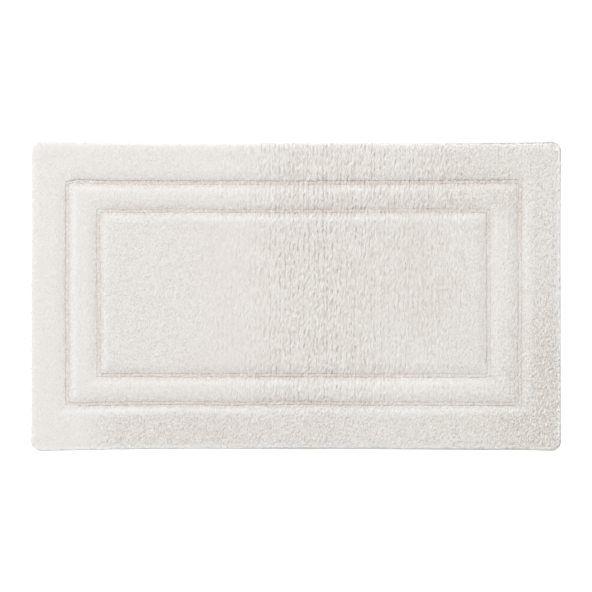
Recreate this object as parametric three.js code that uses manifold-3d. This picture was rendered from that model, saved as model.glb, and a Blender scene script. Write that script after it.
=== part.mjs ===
// A tufted cotton bath mat lying flat on the floor. Its cut pile stands on a woven backing cloth in
// three fields: a centre panel, a band round it and a border. Two rings of low pile part the fields,
// so they read as two rectangular grooves. Under the cloth lie a non-slip latex coat, a hem that
// turns round every edge, the hem's sewing and a care label.
//
// Units are millimetres. X runs along the mat's length, Y across it and Z up from the floor. The
// origin is on the floor, below the middle of the mat.

import * as THREE from 'three';
import { mergeVertices } from 'three/addons/utils/BufferGeometryUtils.js';
import Module from 'manifold-3d';

const wasm = await Module();
wasm.setup();

// ---- Driving dimensions ----

const LENGTH = 864; // the standard 34 inch by 20 inch mat
const WIDTH = 508;
const THICKNESS = 15; // from the floor to the pile's tips
const CORNER_RADIUS = 17;
const LONG_EDGE_BOW = 4.5; // how far a long edge draws in at its middle
const SHORT_EDGE_BOW = 1.5;
const CLEARANCE = 0.3; // kept between pieces that touch

const COAT_THICKNESS = 1.5; // the latex, and the hem's turned-under leaf beside it
const CLOTH_THICKNESS = 1;
const GROOVE_DEPTH = 4.5; // from the pile's tips to the low pile's tips
const GROOVE_WIDTH = 6; // between the walls of two pile fields
const PILE_ROUNDING = 3.5; // the shoulder of every pile field
const PILE_INSET = 2.5; // the hem shows this far outside the pile

// Each groove's middle line is a rectangle. Both are centred a little off the mat's own middle.
const PATTERN_CENTRE = { x: -5, y: 4.5 };
const OUTER_GROOVE = { halfLength: 369, halfWidth: 182, radius: 7 };
const INNER_GROOVE = { halfLength: 318, halfWidth: 135.5, radius: 7 };

const HEM_LEAF = 18; // how far the hem reaches in under the mat
const HEM_FOLD = 1.5; // the doubled cloth's thickness at the mat's edge
const SEAM_INSET = 14.3; // from the mat's edge to the line of sewing
const THREAD_WIDTH = 0.8;
const THREAD_THICKNESS = 0.45;
const THREAD_HEIGHT = 0.05; // the sewing is drawn into the hem, clear of the floor
const CHANNEL_DEPTH = THREAD_HEIGHT + THREAD_THICKNESS + CLEARANCE;

const LABEL_LENGTH = 50;
const LABEL_WIDTH = 28;
const LABEL_THICKNESS = 0.5;
const LABEL_HEIGHT = 0.2;
const LABEL_PLACE = -150; // its middle, along the left hem
const RECESS_DEPTH = LABEL_HEIGHT + LABEL_THICKNESS + CLEARANCE;

const CURVE_SEGMENTS = 6; // steps in one side of an outline, and half the steps in a corner

// ---- Heights, from the floor up ----

const CLOTH_BASE = COAT_THICKNESS + CLEARANCE;
const CLOTH_TOP = CLOTH_BASE + CLOTH_THICKNESS;
const PILE_BASE = CLOTH_TOP + CLEARANCE;
const LOW_PILE_TOP = THICKNESS - GROOVE_DEPTH;

// ---- Materials ----

const FINISHES = {
  tallPile: { color: 0xe4dfda, roughness: 0.95 },
  lowPile: { color: 0xd6cbc0, roughness: 1 },
  backingCloth: { color: 0xdcd5c8, roughness: 0.95 },
  latexCoat: { color: 0xe8e4d8, roughness: 0.8 },
  hemCloth: { color: 0xe2dfd6, roughness: 0.9 },
  thread: { color: 0xefece5, roughness: 0.7 },
  labelSatin: { color: 0xf4f3ef, roughness: 0.5 },
};

function finish(name) {
  return new THREE.MeshStandardMaterial({ ...FINISHES[name], metalness: 0 });
}

// ---- Outlines ----

// A rounded rectangle whose sides draw in at their middles, as cloth does between its corners.
function drawnInRectangle(halfLength, halfWidth, radius, centre) {
  const bowX = SHORT_EDGE_BOW * halfLength / (LENGTH / 2);
  const bowY = LONG_EDGE_BOW * halfWidth / (WIDTH / 2);
  const left = centre.x - halfLength;
  const right = centre.x + halfLength;
  const front = centre.y - halfWidth;
  const back = centre.y + halfWidth;
  const quarter = Math.PI / 2;
  const shape = new THREE.Shape();
  shape.moveTo(left + radius, front);
  shape.quadraticCurveTo(centre.x, front + 2 * bowY, right - radius, front);
  shape.absarc(right - radius, front + radius, radius, -quarter, 0);
  shape.quadraticCurveTo(right - 2 * bowX, centre.y, right, back - radius);
  shape.absarc(right - radius, back - radius, radius, 0, quarter);
  shape.quadraticCurveTo(centre.x, back - 2 * bowY, left + radius, back);
  shape.absarc(left + radius, back - radius, radius, quarter, 2 * quarter);
  shape.quadraticCurveTo(left + 2 * bowX, centre.y, left, front + radius);
  shape.absarc(left + radius, front + radius, radius, 2 * quarter, 3 * quarter);
  return shape;
}

// The mat's own outline, moved in by an inset. Its corners stay at least a little round.
function edgeOutline(inset) {
  const smallestRadius = 3;
  const radius = Math.max(CORNER_RADIUS - inset, smallestRadius);
  return drawnInRectangle(LENGTH / 2 - inset, WIDTH / 2 - inset, radius, { x: 0, y: 0 });
}

// A groove's middle line, moved outwards by an offset, or inwards by a negative one.
function grooveOutline(groove, offset) {
  return drawnInRectangle(
    groove.halfLength + offset,
    groove.halfWidth + offset,
    groove.radius + offset,
    PATTERN_CENTRE,
  );
}

function ring(outer, inner) {
  outer.holes.push(inner);
  return outer;
}

// ---- Solids ----

function plate(shape, thickness) {
  return new THREE.ExtrudeGeometry(shape, {
    depth: thickness,
    bevelEnabled: false,
    curveSegments: CURVE_SEGMENTS,
  });
}

// A field of pile: a thick plate with rounded shoulders. Its roots draw in as its tips do.
function pileField(shape, height) {
  const geometry = new THREE.ExtrudeGeometry(shape, {
    depth: height - 2 * PILE_ROUNDING,
    bevelEnabled: true,
    bevelThickness: PILE_ROUNDING,
    bevelSize: PILE_ROUNDING,
    bevelOffset: -PILE_ROUNDING,
    bevelSegments: 2,
    curveSegments: CURVE_SEGMENTS,
  });
  geometry.translate(0, 0, PILE_ROUNDING);
  return geometry;
}

function toSolid(geometry) {
  const bare = geometry.clone();
  bare.deleteAttribute('normal');
  bare.deleteAttribute('uv');
  const welded = mergeVertices(bare);
  return new wasm.Manifold(new wasm.Mesh({
    numProp: 3,
    vertProperties: welded.attributes.position.array,
    triVerts: Uint32Array.from(welded.index.array),
  }));
}

function toGeometry(solid) {
  const mesh = solid.getMesh();
  const geometry = new THREE.BufferGeometry();
  geometry.setAttribute('position', new THREE.BufferAttribute(mesh.vertProperties, 3));
  geometry.setIndex(new THREE.BufferAttribute(mesh.triVerts, 1));
  geometry.computeVertexNormals();
  return geometry;
}

// ---- The mat ----

const mat = new THREE.Group();

function addPiece(name, geometry, height, material) {
  const piece = new THREE.Mesh(geometry, material);
  piece.name = name;
  piece.position.z = height;
  mat.add(piece);
}

// The pile: three tall fields, and the two rings of low pile between them.
function addPile() {
  const tall = finish('tallPile');
  const low = finish('lowPile');
  const half = GROOVE_WIDTH / 2;
  const tallHeight = THICKNESS - PILE_BASE;
  const lowHeight = LOW_PILE_TOP - PILE_BASE;
  const border = ring(edgeOutline(PILE_INSET), grooveOutline(OUTER_GROOVE, half));
  const band = ring(grooveOutline(OUTER_GROOVE, -half), grooveOutline(INNER_GROOVE, half));
  addPiece('border_pile', pileField(border, tallHeight), PILE_BASE, tall);
  addPiece('middle_band_pile', pileField(band, tallHeight), PILE_BASE, tall);
  addPiece('centre_pile', pileField(grooveOutline(INNER_GROOVE, -half), tallHeight), PILE_BASE, tall);

  const strip = half - CLEARANCE;
  for (const [name, groove] of [['outer', OUTER_GROOVE], ['inner', INNER_GROOVE]]) {
    const shape = ring(grooveOutline(groove, strip), grooveOutline(groove, -strip));
    addPiece(`${name}_groove_pile`, plate(shape, lowHeight), PILE_BASE, low);
  }
}

function addBackingCloth() {
  const shape = edgeOutline(HEM_FOLD + CLEARANCE);
  addPiece('backing_cloth', plate(shape, CLOTH_THICKNESS), CLOTH_BASE, finish('backingCloth'));
}

// The latex coat fills the space inside the hem. The care label lies in a shallow recess in it.
function addLatexCoat() {
  const coat = toSolid(plate(edgeOutline(HEM_LEAF + CLEARANCE), COAT_THICKNESS));
  const depthBelow = 1;
  const recess = new THREE.BoxGeometry(
    2 * (LABEL_LENGTH + CLEARANCE),
    LABEL_WIDTH + 2 * CLEARANCE,
    depthBelow + RECESS_DEPTH,
  );
  recess.translate(HEM_LEAF - LENGTH / 2, LABEL_PLACE, (RECESS_DEPTH - depthBelow) / 2);
  const cut = coat.subtract(toSolid(recess));
  addPiece('latex_coat', toGeometry(cut), 0, finish('latexCoat'));
}

// One side's share of a ring: all that lies between the lines that halve its two corners.
function mitredSide(onLongEdge, sign) {
  const reach = 100; // the share is this wide, more than the hem
  const overshoot = 10;
  const along = (onLongEdge ? LENGTH : WIDTH) / 2;
  const across = (onLongEdge ? WIDTH : LENGTH) / 2;
  const shift = onLongEdge ? CLEARANCE * Math.SQRT2 : 0;
  const outline = [
    [-along - overshoot, across + overshoot + shift],
    [-along + reach, across - reach + shift],
    [along - reach, across - reach + shift],
    [along + overshoot, across + overshoot + shift],
  ];
  const shape = new THREE.Shape(outline.map(([x, y]) => new THREE.Vector2(x, y)));
  const geometry = plate(shape, THICKNESS);
  const quarterTurns = (onLongEdge ? 0 : 1) + (sign > 0 ? 0 : 2);
  geometry.rotateZ(quarterTurns * Math.PI / 2);
  return toSolid(geometry);
}

// The hem: a fold round the mat's edge and a leaf turned in under it, cut by a channel that holds
// the sewing. Each side is its own piece, mitred at the corners, with its own run of thread.
function addHems() {
  const leaf = toSolid(plate(ring(edgeOutline(0), edgeOutline(HEM_LEAF)), COAT_THICKNESS));
  const fold = toSolid(plate(ring(edgeOutline(0), edgeOutline(HEM_FOLD)), CLOTH_TOP));
  const channelHalf = THREAD_WIDTH / 2 + CLEARANCE;
  const channelShape = ring(
    edgeOutline(SEAM_INSET - channelHalf),
    edgeOutline(SEAM_INSET + channelHalf),
  );
  const channel = toSolid(plate(channelShape, 2 * CHANNEL_DEPTH).translate(0, 0, -CHANNEL_DEPTH));
  const hem = leaf.add(fold).subtract(channel);
  const threadShape = ring(
    edgeOutline(SEAM_INSET - THREAD_WIDTH / 2),
    edgeOutline(SEAM_INSET + THREAD_WIDTH / 2),
  );
  const thread = toSolid(plate(threadShape, THREAD_THICKNESS));
  const hemFinish = finish('hemCloth');
  const threadFinish = finish('thread');
  const sides = [['back', true, 1], ['left', false, 1], ['front', true, -1], ['right', false, -1]];
  for (const [name, onLongEdge, sign] of sides) {
    const share = mitredSide(onLongEdge, sign);
    addPiece(`${name}_hem`, toGeometry(hem.intersect(share)), 0, hemFinish);
    const run = toGeometry(thread.intersect(share));
    addPiece(`${name}_hem_sewing`, run, THREAD_HEIGHT, threadFinish);
  }
}

// A blank satin label. Its outer end is caught at the left hem.
function addCareLabel() {
  const shape = new THREE.Shape();
  const half = LABEL_WIDTH / 2;
  const cornerCut = 1.5;
  const start = HEM_LEAF + CLEARANCE + SHORT_EDGE_BOW;
  const end = HEM_LEAF + LABEL_LENGTH;
  shape.moveTo(start, -half);
  shape.lineTo(end - cornerCut, -half);
  shape.lineTo(end, -half + cornerCut);
  shape.lineTo(end, half - cornerCut);
  shape.lineTo(end - cornerCut, half);
  shape.lineTo(start, half);
  shape.closePath();
  const geometry = plate(shape, LABEL_THICKNESS);
  geometry.translate(-LENGTH / 2, LABEL_PLACE, 0);
  addPiece('care_label', geometry, LABEL_HEIGHT, finish('labelSatin'));
}

addPile();
addBackingCloth();
addLatexCoat();
addHems();
addCareLabel();

export default mat;
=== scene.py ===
import math

import bpy
import numpy as np
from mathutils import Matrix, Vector


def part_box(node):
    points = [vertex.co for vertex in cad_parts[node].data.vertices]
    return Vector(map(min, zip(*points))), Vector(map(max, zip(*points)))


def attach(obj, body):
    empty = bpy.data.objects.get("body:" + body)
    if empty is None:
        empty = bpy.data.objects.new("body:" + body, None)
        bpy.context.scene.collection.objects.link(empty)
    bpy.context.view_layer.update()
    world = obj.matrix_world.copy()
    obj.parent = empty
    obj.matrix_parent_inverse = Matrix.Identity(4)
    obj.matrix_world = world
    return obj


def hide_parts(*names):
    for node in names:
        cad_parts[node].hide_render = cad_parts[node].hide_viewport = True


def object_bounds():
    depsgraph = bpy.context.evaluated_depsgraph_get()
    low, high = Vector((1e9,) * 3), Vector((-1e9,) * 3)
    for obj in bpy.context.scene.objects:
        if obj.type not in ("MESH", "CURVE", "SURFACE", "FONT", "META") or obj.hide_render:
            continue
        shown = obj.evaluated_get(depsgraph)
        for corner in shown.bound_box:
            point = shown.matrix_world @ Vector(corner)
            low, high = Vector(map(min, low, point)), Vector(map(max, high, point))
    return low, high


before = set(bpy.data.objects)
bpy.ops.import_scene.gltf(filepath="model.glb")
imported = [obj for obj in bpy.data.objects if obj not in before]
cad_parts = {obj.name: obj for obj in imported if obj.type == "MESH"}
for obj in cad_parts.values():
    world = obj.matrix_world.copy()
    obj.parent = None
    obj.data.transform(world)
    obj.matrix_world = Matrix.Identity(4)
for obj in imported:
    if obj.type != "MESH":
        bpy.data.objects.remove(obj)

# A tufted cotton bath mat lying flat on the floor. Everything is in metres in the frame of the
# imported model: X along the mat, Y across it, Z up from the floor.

CAD_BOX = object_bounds()
MM = 0.001

# ---- Sizes from the frame ----


def box_of(node):
    """A node's box: its middle and half size, both as x and y, and its lowest and highest z."""
    low, high = (np.array(corner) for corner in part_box(node))
    return (low + high)[:2] / 2, (high - low)[:2] / 2, low[2], high[2]


MAT_HALF = np.array(CAD_BOX[1] - CAD_BOX[0])[:2] / 2
MAT_MIDDLE = np.zeros(2)
PATTERN_MIDDLE, CENTRE_HALF, PILE_ROOT, PILE_TIP = box_of("centre_pile")
BAND_HALF = box_of("middle_band_pile")[1]
EDGE_HALF = box_of("border_pile")[1]
INNER_LOW_HALF, LOW_PILE_TIP = box_of("inner_groove_pile")[1::2]
OUTER_LOW_HALF = box_of("outer_groove_pile")[1]
CLOTH_HALF, CLOTH_BASE, CLOTH_TOP = box_of("backing_cloth")[1:]
COAT_HALF, _, COAT_TOP = box_of("latex_coat")[1:]
LABEL_MIDDLE, LABEL_HALF, LABEL_BASE, LABEL_TOP = box_of("care_label")
CORNER_RADIUS = 17 * MM
CAD_GAP = 0.3 * MM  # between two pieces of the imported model
NO_GAP = 0.03 * MM  # how closely two fields of pile stand side by side
LOW_PILE_WIDTH = INNER_LOW_HALF[0] - CENTRE_HALF[0] - CAD_GAP

# ---- The cloth's own shape ----

LONG_EDGE_BOW = 3.8 * MM  # how far the long edges draw in at mid-length
SHORT_EDGE_BOW = 1.5 * MM
BOW_POWER = 3  # above 2 keeps the middle of an edge straight and puts the curve near its ends
WANDER = 0.9 * MM  # slow unevenness of every line on the mat
WANDER_LENGTH = 95 * MM
CORNER_PULL = 1.6 * MM  # the pattern's corners are drawn towards its middle
CORNER_REACH = 6 * MM
CORNER_LIFT = 1.3 * MM  # a groove is this much shallower at its corners
CORNER_LIFT_REACH = 13 * MM
RAGGED = 0.8 * MM  # how far the line between two fields of pile strays
RAGGED_LENGTH = 3.0 * MM

# ---- Slopes of the pile: how far in each reaches, how far it drops, and the power it follows ----

EDGE_SLOPE = (17 * MM, 3.8 * MM, 2.4)  # the pile sinks at the mat's edge
EDGE_ROUNDING = (4 * MM, 1.6 * MM, 2)
FLATTER_SIDES = 0.3  # the share of the slope at the front and the right, where the pile is unbrushed
FLATTER_ROUNDING = 0.6
LOW_SLOPE = (2.7 * MM, -0.4 * MM, 2)  # the low pile rises to meet the fields beside it
LOW_NAP_RISE = 1.1 * MM  # its yarn ends fluff up this far above the shorn level
GROOVE_DROP = PILE_TIP - LOW_PILE_TIP - LOW_NAP_RISE + LOW_SLOPE[1]
GROOVE_SLOPE = (17 * MM, GROOVE_DROP, 1.4)

# ---- Repeatable noise ----

HASH_FACTORS = (374761393, 668265263, 362437)
HASH_MIX = 1274126177
WORD, HALF_WORD = 0xFFFFFFFF, 0xFFFF


def hashed(i, j, seed):
    """A number from 0 to 1 for each pair of whole numbers, always the same. Each seed gives a
    different pattern."""
    for_i, for_j, for_seed = HASH_FACTORS
    mixed = i.astype(np.int64) * for_i + j.astype(np.int64) * for_j + seed * for_seed
    mixed &= WORD
    mixed = ((mixed ^ (mixed >> 13)) * HASH_MIX) & WORD
    return ((mixed ^ (mixed >> 16)) & HALF_WORD) / HALF_WORD


def noise(x, y, seed):
    """Smooth noise from 0 to 1 with one cell per unit."""
    i, j = np.floor(x), np.floor(y)
    fx, fy = x - i, y - j
    fx, fy = fx * fx * (3 - 2 * fx), fy * fy * (3 - 2 * fy)
    near = hashed(i, j, seed) * (1 - fx) + hashed(i + 1, j, seed) * fx
    far = hashed(i, j + 1, seed) * (1 - fx) + hashed(i + 1, j + 1, seed) * fx
    return near * (1 - fy) + far * fy


TUFT_PITCH = (3.2 * MM, 3.6 * MM)  # between tufts, across and along the rows
TUFT_SCATTER = 0.62  # how far a tuft may stand from its place, in tuft spacings


def nearest_tuft(x, y, seed):
    """How far each point is from the nearest tuft's middle, in tuft spacings."""
    u, v = x / TUFT_PITCH[0], y / TUFT_PITCH[1]
    i, j = np.floor(u), np.floor(v)
    best = np.full(u.shape, np.inf)
    for di in (-1, 0, 1):
        for dj in (-1, 0, 1):
            tuft_u = i + di + 0.5 + TUFT_SCATTER * (hashed(i + di, j + dj, seed) - 0.5)
            tuft_v = j + dj + 0.5 + TUFT_SCATTER * (hashed(i + di, j + dj, seed + 1) - 0.5)
            best = np.minimum(best, np.hypot(u - tuft_u, v - tuft_v))
    return best


def ramp(x, start, end):
    """From 0 at start to 1 at end, smooth at both."""
    t = np.clip((x - start) / (end - start), 0, 1)
    return t * t * (3 - 2 * t)


# ---- Shape of the whole mat ----


def near_corners(flat, reach):
    """1 at the corners of both grooves, fading to 0 around them."""
    near = 0.0
    for low_half in (INNER_LOW_HALF, OUTER_LOW_HALF):
        corner = low_half - LOW_PILE_WIDTH / 2
        away = np.linalg.norm(np.abs(flat - PATTERN_MIDDLE) - corner, axis=1)
        near = near + np.exp(-((away / reach) ** 2))
    return near


def drawn_in(points, ragged=0.0):
    """Bends flat, square-cut positions to the mat's real lines. Its edges draw in between the
    corners, the pattern's corners round off, and every line wanders slightly."""
    out = np.array(points, float)
    x, y = out[:, 0].copy(), out[:, 1].copy()
    along, across = x / MAT_HALF[0], y / MAT_HALF[1]
    out[:, 0] -= SHORT_EDGE_BOW * along * (1 - np.abs(across) ** BOW_POWER)
    out[:, 1] -= LONG_EDGE_BOW * across * (1 - np.abs(along) ** BOW_POWER)
    for axis, seed in ((0, 11), (1, 12)):
        wander = WANDER * (2 * noise(x / WANDER_LENGTH, y / WANDER_LENGTH, seed) - 1)
        fray = 2 * noise(x / RAGGED_LENGTH, y / RAGGED_LENGTH, seed + 2) - 1
        out[:, axis] += wander + ragged * fray
    flat = np.stack([x, y], 1)
    pull = CORNER_PULL * math.sqrt(0.5) * near_corners(flat, CORNER_REACH)  # along each axis
    out[:, :2] -= np.sign(flat - PATTERN_MIDDLE) * pull[:, None]
    return out


# ---- Pile relief ----


def from_groove(x, y):
    """How far each point is from the middle of the nearest groove."""
    flat = np.abs(np.stack([x, y], -1) - PATTERN_MIDDLE)
    middles = (half - LOW_PILE_WIDTH / 2 for half in (INNER_LOW_HALF, OUTER_LOW_HALF))
    return np.min([np.abs((flat - middle).max(-1)) for middle in middles], 0)


# Regions of the pile. A nap is how disturbed a region is, a share is how much of something it keeps
# or loses, and a change is where it begins and where it is complete, along X or Y.
STRAY, STRAY_LENGTH = 40 * MM, 0.09  # the regions' borders wander this far, over this length
FRONT_STRAY = 0.3  # the share of that for a border that runs along the mat
BRUSHED_NAP = 0.25
LEFT_NAP, LEFT_CHANGE = 0.14, (-0.36, -0.28)
MIDDLE_NAP, MIDDLE_CHANGE = 0.56, (-0.13, 0.0)
SETTLED_SHARE, SETTLED_CHANGE = 0.38, (0.06, 0.18)  # the right half is calmer than the middle
BACK_SHARE, BACK_CHANGE = 0.8, (0.13, 0.16)  # but hardly at the back
FRONT_NAP, FRONT_CHANGE, FRONT_START = 0.84, (0.175, 0.205), (-0.39, -0.28)
RIGHT_NAP, RIGHT_CHANGE = 0.88, (0.35, 0.4)
CORNER_NAP, CORNER_CHANGE, CORNER_FRONT = 0.5, (0.28, 0.40), (-0.05, 0.15)
CENTRE_NAP, CENTRE_EDGE, CENTRE_END = 0.14, (-6 * MM, 0), (-0.2, -0.1)
GROOVE_NAP, GROOVE_REACH = 0.45, 4 * MM


def disturbance(x, y):
    """How disturbed the pile is: brushed smooth at the left, parted in the middle, tousled at the
    front and the right and most of all at the front right corner."""
    stray = STRAY * (noise(x / STRAY_LENGTH, y / STRAY_LENGTH, 21) - 0.5)
    rise = BRUSHED_NAP + LEFT_NAP * ramp(x + stray, *LEFT_CHANGE)
    rise = rise + MIDDLE_NAP * ramp(x + stray, *MIDDLE_CHANGE)
    settled = SETTLED_SHARE * ramp(x + stray, *SETTLED_CHANGE)
    settle = 1 - settled * (1 - BACK_SHARE * ramp(y, *BACK_CHANGE))
    front = FRONT_NAP * ramp(-y + FRONT_STRAY * stray, *FRONT_CHANGE)
    front = front * ramp(x + stray / 2, *FRONT_START)
    right = RIGHT_NAP * ramp(x + stray / 2, *RIGHT_CHANGE)
    corner = CORNER_NAP * ramp(x, *CORNER_CHANGE) * ramp(-y, *CORNER_FRONT)
    inner = np.maximum(np.abs(x - PATTERN_MIDDLE[0]) - CENTRE_HALF[0], np.abs(y) - CENTRE_HALF[1])
    centre = CENTRE_NAP * (1 - ramp(inner, *CENTRE_EDGE)) * (1 - ramp(x, *CENTRE_END))
    in_groove = np.exp(-((from_groove(x, y) / GROOVE_REACH) ** 4))
    return np.max([rise * settle, front, right, GROOVE_NAP * in_groove], 0) + corner + centre


ROWS_STRAY, ROWS_STRAY_LENGTH = 50 * MM, 0.07
ROWS_START, ROWS_END = (-0.2, -0.06), (0.36, 0.4)
ROWS_FADE, ROWS_FADE_CHANGE = 0.6, (0.12, 0.3)  # they fade by this share towards the right
ROWS_FRONT = (-0.19, -0.16)


def streaking(x, y):
    """How far the pile lies in rows, from 0 to 1: only in the middle and at the back."""
    stray = ROWS_STRAY * (noise(x / ROWS_STRAY_LENGTH, y / ROWS_STRAY_LENGTH, 22) - 0.5)
    inside = ramp(x + stray, *ROWS_START) * (1 - ROWS_FADE * ramp(x + stray, *ROWS_FADE_CHANGE))
    return inside * ramp(y + FRONT_STRAY * stray, *ROWS_FRONT) * (1 - ramp(x, *ROWS_END))


YARN_SPACING = 0.3 * MM
ALIKE_LENGTH = 5 * MM  # in a row, this much of it lies alike


def yarn_ends(x, y, rows, seed):
    """A number from 0 to 1 for each yarn end. Where the pile lies in rows, several ends one behind
    another lie alike."""
    column = np.round(x / YARN_SPACING)
    single = hashed(column, np.round(y / YARN_SPACING), seed)
    offset = hashed(column, column * 0, seed + 50)
    alike = hashed(column, np.floor(y / ALIKE_LENGTH + offset), seed)
    return single + (alike - single) * np.round(rows)


ROW_PITCH = 7.8 * MM  # between the partings that show as streaks
# How far the rows drift, over what length along X and along Y, and the pattern's seed.
ROW_DRIFTS = ((3.6 * MM, 0.034, 0.026, 31), (0.8 * MM, 0.010, 0.012, 32))
PARTING_SCATTER = 0.5  # how unevenly the partings are spaced, as a share of the pitch
PARTING_WIDTH, PARTING_DEPTH = 0.7 * MM, 2.4 * MM
PARTING_LENGTH, PARTING_OPENS = 6 * MM, (0.25, 0.8)
TUFT_RADIUS, TUFT_DEPTH = 0.75, 0.4 * MM  # the radius is in tuft spacings
BRISTLE_SIZE, BRISTLE_CONTRAST = (1.2 * MM, 5.0 * MM), (0.25, 0.75)
SPECKLE_SIZE = (1.5 * MM, 2.1 * MM)
YARN_DEPTH = 1.05 * MM
BRISTLE_SHARE, SPECKLE_SHARE = 0.8, 1.5  # of the yarn's depth
TUFTS_IN_ROWS, SPECKLE_IN_ROWS = 0.8, 0.9  # how much of each is gone where the pile lies in rows
FIBRE_DEPTH = 1.5 * MM
LEAST_FIBRE = 0.14  # the share of it where the pile is quite smooth


def relief(x, y):
    """How far the pile's surface lies below its tufts' tips."""
    drift = 0.0
    for size, length_x, length_y, seed in ROW_DRIFTS:
        drift += size * (noise(x / length_x, y / length_y, seed) - 0.5)
    row = (x + drift) / ROW_PITCH
    row_index = np.floor(row)
    shift = 0.5 + PARTING_SCATTER * (hashed(row_index, row_index * 0, 33) - 0.5)
    from_parting = np.abs(row - row_index - shift) * ROW_PITCH
    opening = ramp(noise(row_index + 0.5, y / PARTING_LENGTH, 34), *PARTING_OPENS)
    parting = np.exp(-((from_parting / PARTING_WIDTH) ** 2)) * opening
    tuft = np.clip(nearest_tuft(x, y, 35) / TUFT_RADIUS, 0, 1) ** 2
    bristle = noise((x + drift) / BRISTLE_SIZE[0], y / BRISTLE_SIZE[1], 36)
    bristle = ramp(bristle, *BRISTLE_CONTRAST)
    speckle = noise(x / SPECKLE_SIZE[0], y / SPECKLE_SIZE[1], 37)
    nap, rows = disturbance(x, y), streaking(x, y)
    coarse = PARTING_DEPTH * parting * rows + TUFT_DEPTH * tuft * (1 - TUFTS_IN_ROWS * rows)
    fine = BRISTLE_SHARE * rows * bristle + SPECKLE_SHARE * (1 - SPECKLE_IN_ROWS * rows) * speckle
    depth = nap * coarse + YARN_DEPTH * nap * fine
    least = LEAST_FIBRE + (1 - LEAST_FIBRE) * nap
    return depth + FIBRE_DEPTH * least * yarn_ends(x, y, rows, 38)


# ---- Mesh building ----


class Shell:
    """Points and faces being gathered for one closed mesh. Each point of a pile has a depth below
    the tufts' tips. paints holds what a material reads at each point, by name."""

    def __init__(self):
        self.points = np.empty((0, 3))
        self.depths = np.empty(0)
        self.faces = []
        self.flat_faces = set()
        self.paints = {}

    def add(self, points, depths=0.0):
        """Adds points and returns their numbers."""
        first = len(self.points)
        self.points = np.concatenate([self.points, points])
        self.depths = np.concatenate([self.depths, np.zeros(len(points)) + depths])
        return np.arange(first, len(self.points))

    def join(self, lower, upper):
        """Faces between two closed loops of as many points each, seen from outside."""
        after = np.roll(np.arange(len(lower)), -1)
        self.faces += np.stack([lower, lower[after], upper[after], upper], 1).tolist()

    def turned_over(self):
        """The same shell upside down, for what was built as if seen from below."""
        self.points[:, 2] *= -1
        self.faces = [face[::-1] for face in self.faces]
        return self

    def make(self, name, material, ragged=0.0):
        """The finished object, drawn in like the whole mat, without the points no face uses."""
        lengths = [len(face) for face in self.faces]
        numbers = np.concatenate([np.array(face) for face in self.faces])
        used, fresh = np.unique(numbers, return_inverse=True)
        faces = [part.tolist() for part in np.split(fresh.ravel(), np.cumsum(lengths)[:-1])]
        mesh = bpy.data.meshes.new(name)
        mesh.from_pydata(drawn_in(self.points[used], ragged).tolist(), [], faces)
        mesh.polygons.foreach_set("use_smooth", [k not in self.flat_faces for k in range(len(faces))])
        for paint, values in self.paints.items():
            attribute = mesh.attributes.new(paint, "FLOAT", "POINT")
            attribute.data.foreach_set("value", values[used].astype(np.float32))
        mesh.materials.append(material)
        piece = bpy.data.objects.new(name, mesh)
        bpy.context.scene.collection.objects.link(piece)
        return piece


def loop_normals(loop):
    """Outward directions of a closed loop that runs the other way round from a clock's hands."""
    along = np.roll(loop, -1, 0) - np.roll(loop, 1, 0)
    along /= np.linalg.norm(along, axis=1)[:, None]
    return np.stack([along[:, 1], -along[:, 0]], 1)


def border_sides(numbers):
    """The four sides of a block of grid numbers, the other way round from a clock's hands. Each side
    starts at a corner and ends before the next."""
    return [numbers[0, :-1], numbers[:-1, -1], numbers[-1, :0:-1], numbers[:0:-1, 0]]


ROUNDED_REACH = 12  # how far in a rounded corner bends the grid, in its radii
TINY = 1e-9  # stands in for zero where something is divided by it


def corner_rounding(points, half, radius):
    """Moves the corners of a rectangular grid in to a rounded outline, less and less inwards."""
    block = min(ROUNDED_REACH * radius, half.min())
    q = (np.abs(points) - (half - block)) / block
    inside = (q > 0).all(1)
    level, low = q.max(1), q.min(1)
    arc_radius = np.clip(level, 0, 1) ** 2 * radius / block
    straight = level - arc_radius
    half_path = straight + arc_radius * math.pi / 4
    travelled = np.clip(low / np.maximum(level, TINY), 0, 1) * half_path
    turn = np.clip((travelled - straight) / np.maximum(arc_radius, TINY), 0, math.pi / 4)
    on_arc = travelled > straight
    far = np.where(on_arc, straight + arc_radius * np.cos(turn), level)
    near = np.where(on_arc, straight + arc_radius * np.sin(turn), travelled)
    first = q[:, 0] >= q[:, 1]
    moved = np.stack([np.where(first, far, near), np.where(first, near, far)], 1)
    moved = np.sign(points) * (half - block + moved * block)
    return np.where(inside[:, None], moved, points)


EDGE_CLEARANCE = 0.35  # the share of a step that lattice lines keep from a field's edges


def field_lines(edges, step):
    """Mesh lines across a whole field: through its edges, and on a lattice all fields share, so that
    the surfaces of two fields meet point for point."""
    lattice = np.arange(math.ceil(edges[0] / step), edges[-1] / step) * step
    clear = np.abs(lattice[:, None] - edges).min(1) > EDGE_CLEARANCE * step
    return np.sort(np.concatenate([edges, lattice[clear]]))


def fold_wall(shell, sides, outwards, root, profile):
    """Continues a field from one edge of its surface to its root. profile gives, for the outline's
    points and a share of the way down, how far in the wall stands and how deep its shade is.
    Returns the root loop's sides."""
    loop = np.concatenate(sides)
    outline = shell.points[loop]
    normal = loop_normals(outline[:, :2]) * outwards
    rows, shape = profile
    first = len(shell.faces)
    upper = loop
    for t in np.arange(1, rows + 1) / rows:
        height = outline[:, 2] + (root - outline[:, 2]) * t
        inset, depth = shape(outline, height, t)
        place = outline[:, :2] - normal * np.reshape(inset, (-1, 1))
        lower = shell.add(np.column_stack([place, height]), depth)
        shell.join(*((lower, upper) if outwards > 0 else (upper, lower)))
        upper = lower
    if shape is straight_wall:
        shell.flat_faces |= set(range(first, len(shell.faces)))
    return np.split(upper, np.cumsum([len(side) for side in sides])[:-1])


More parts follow.
